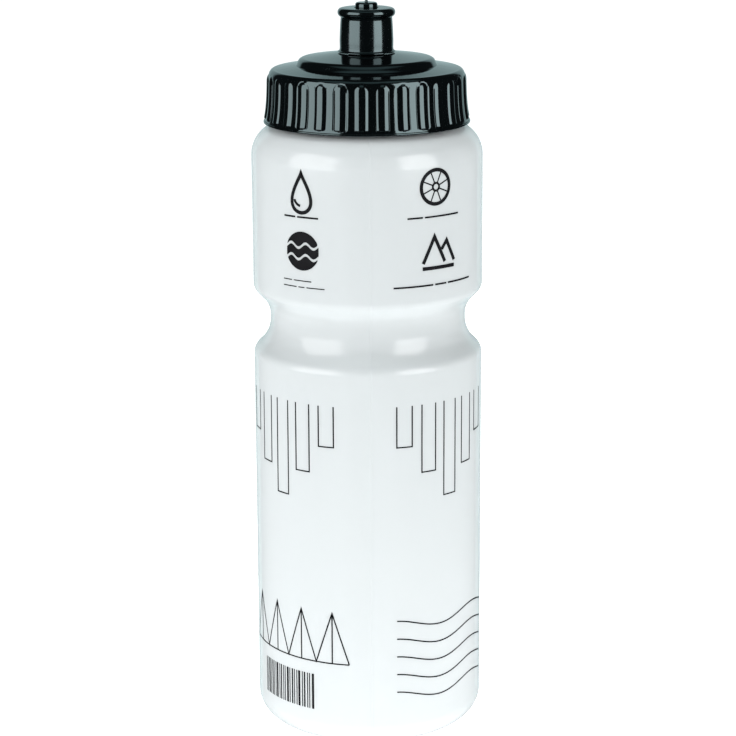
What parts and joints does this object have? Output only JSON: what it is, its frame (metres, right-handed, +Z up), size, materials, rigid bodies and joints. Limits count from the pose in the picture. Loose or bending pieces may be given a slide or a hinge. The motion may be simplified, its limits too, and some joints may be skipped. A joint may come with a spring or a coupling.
{
  "type": "water bottle",
  "caption": "Translucent squeeze bottle with a grip waist, a ribbed black screw cap and a push-pull drinking nozzle.",
  "frame": {"origin": "centre of the foot, on the surface the bottle stands on", "axes": "+Z up along the bottle's axis, -Y towards the printed front, +X to the front's right"},
  "size_m": [0.0734, 0.0734, 0.237],
  "materials": {
    "milky_plastic": "translucent natural polyethylene, satin gloss",
    "black_plastic": "polished black polypropylene",
    "nozzle_plastic": "polished black soft polyethylene",
    "seal_foam": "matte closed-cell foam",
    "print_ink": "thin black screen print on the body"
  },
  "bodies": {
    "bottle": {"bottle_body": "milky_plastic"},
    "seal": {"cap_seal": "seal_foam"},
    "cap": {"screw_cap": "black_plastic"},
    "mouthpiece": {"nozzle": "nozzle_plastic"}
  },
  "joints": [
    {"name": "cap_lift", "type": "slide", "parent": "bottle", "child": "seal", "axis": [0, 0, 1], "range_m": [0, 0.015]},
    {"name": "cap_turn", "type": "hinge", "parent": "seal", "child": "cap", "pos_m": [0, 0, 0.205], "axis": [0, 0, 1], "range_deg": [0, 900]},
    {"name": "nozzle_slide", "type": "slide", "parent": "cap", "child": "mouthpiece", "axis": [0, 0, 1], "range_m": [0, 0.007]}
  ],
  "couplings": [
    {"joint": "cap_lift", "follows": "cap_turn", "m_per_rad": 0.00095492}
  ]
}
